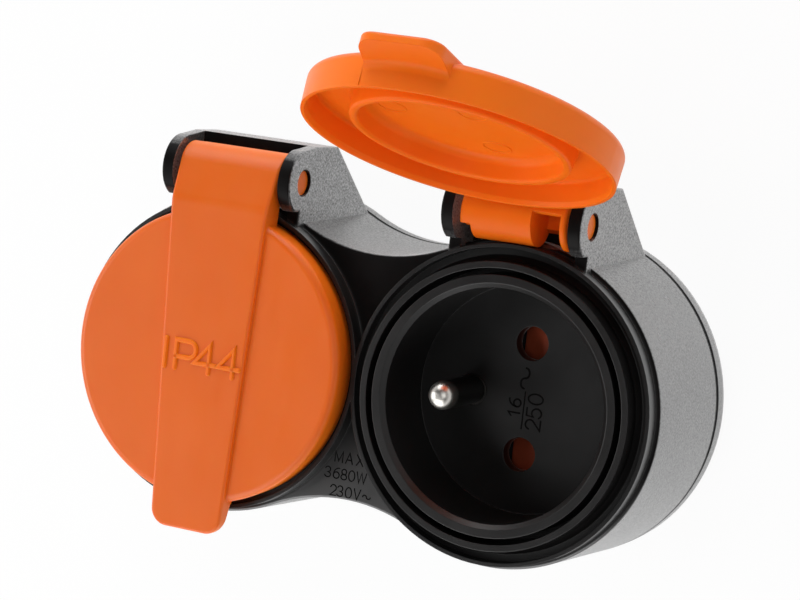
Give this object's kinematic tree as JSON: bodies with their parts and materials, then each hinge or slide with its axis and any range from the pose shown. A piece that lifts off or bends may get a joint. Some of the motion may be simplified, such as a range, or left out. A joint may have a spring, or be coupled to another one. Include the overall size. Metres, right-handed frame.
{
  "type": "outdoor socket head of an extension cord",
  "caption": "Peanut-shaped outdoor socket head with recessed pin outlets, earth pins, shutters and hinged splash lids, for the end of an extension cord.",
  "frame": {"origin": "middle of the flat rear face", "axes": "+X along the sockets away from the cord inlet, +Y towards the lid hinges, +Z out of the sockets"},
  "size_m": [0.1161, 0.0897, 0.0889],
  "materials": {
    "black_plastic": "fine grained satin",
    "orange_plastic": "satin",
    "shutter_plastic": "satin",
    "brass": "stamped",
    "nickel": "plated",
    "steel": "zinc plated",
    "rubber": "matte",
    "inner_plastic": "matte"
  },
  "bodies": {
    "head": {"front_housing": "black_plastic", "rear_cover": "black_plastic", "line_bar": "brass", "neutral_bar": "brass", "earth_bar": "brass", "left_earth_pin": "nickel", "right_earth_pin": "nickel", "cover_screws": "steel", "terminal_screws": "steel", "retainer_screws": "steel", "left_shutter_spring": "steel", "right_shutter_spring": "steel", "cover_seal": "rubber", "inlet_grommet": "rubber", "left_shutter_retainer": "inner_plastic", "right_shutter_retainer": "inner_plastic"},
    "left_lid_body": {"left_lid": "orange_plastic"},
    "right_lid_body": {"right_lid": "orange_plastic"},
    "left_shutter_body": {"left_shutter": "shutter_plastic"},
    "right_shutter_body": {"right_shutter": "shutter_plastic"}
  },
  "joints": [
    {"name": "left_lid_hinge", "type": "hinge", "parent": "head", "child": "left_lid_body", "pos_m": [-0.0265, 0.0313, 0.0333], "axis": [-1, 0, 0], "range_deg": [0, 111]},
    {"name": "right_lid_hinge", "type": "hinge", "parent": "head", "child": "right_lid_body", "pos_m": [0.0265, 0.0313, 0.0333], "axis": [-1, 0, 0], "range_deg": [-111, 0]},
    {"name": "left_shutter_slide", "type": "slide", "parent": "head", "child": "left_shutter_body", "axis": [1, 0, 0], "range_m": [0, 0.006], "stiffness_N_per_m": 150, "springref_m": -0.004, "deforming": ["left_shutter_spring"]},
    {"name": "right_shutter_slide", "type": "slide", "parent": "head", "child": "right_shutter_body", "axis": [1, 0, 0], "range_m": [0, 0.006], "stiffness_N_per_m": 150, "springref_m": -0.004, "deforming": ["right_shutter_spring"]}
  ]
}
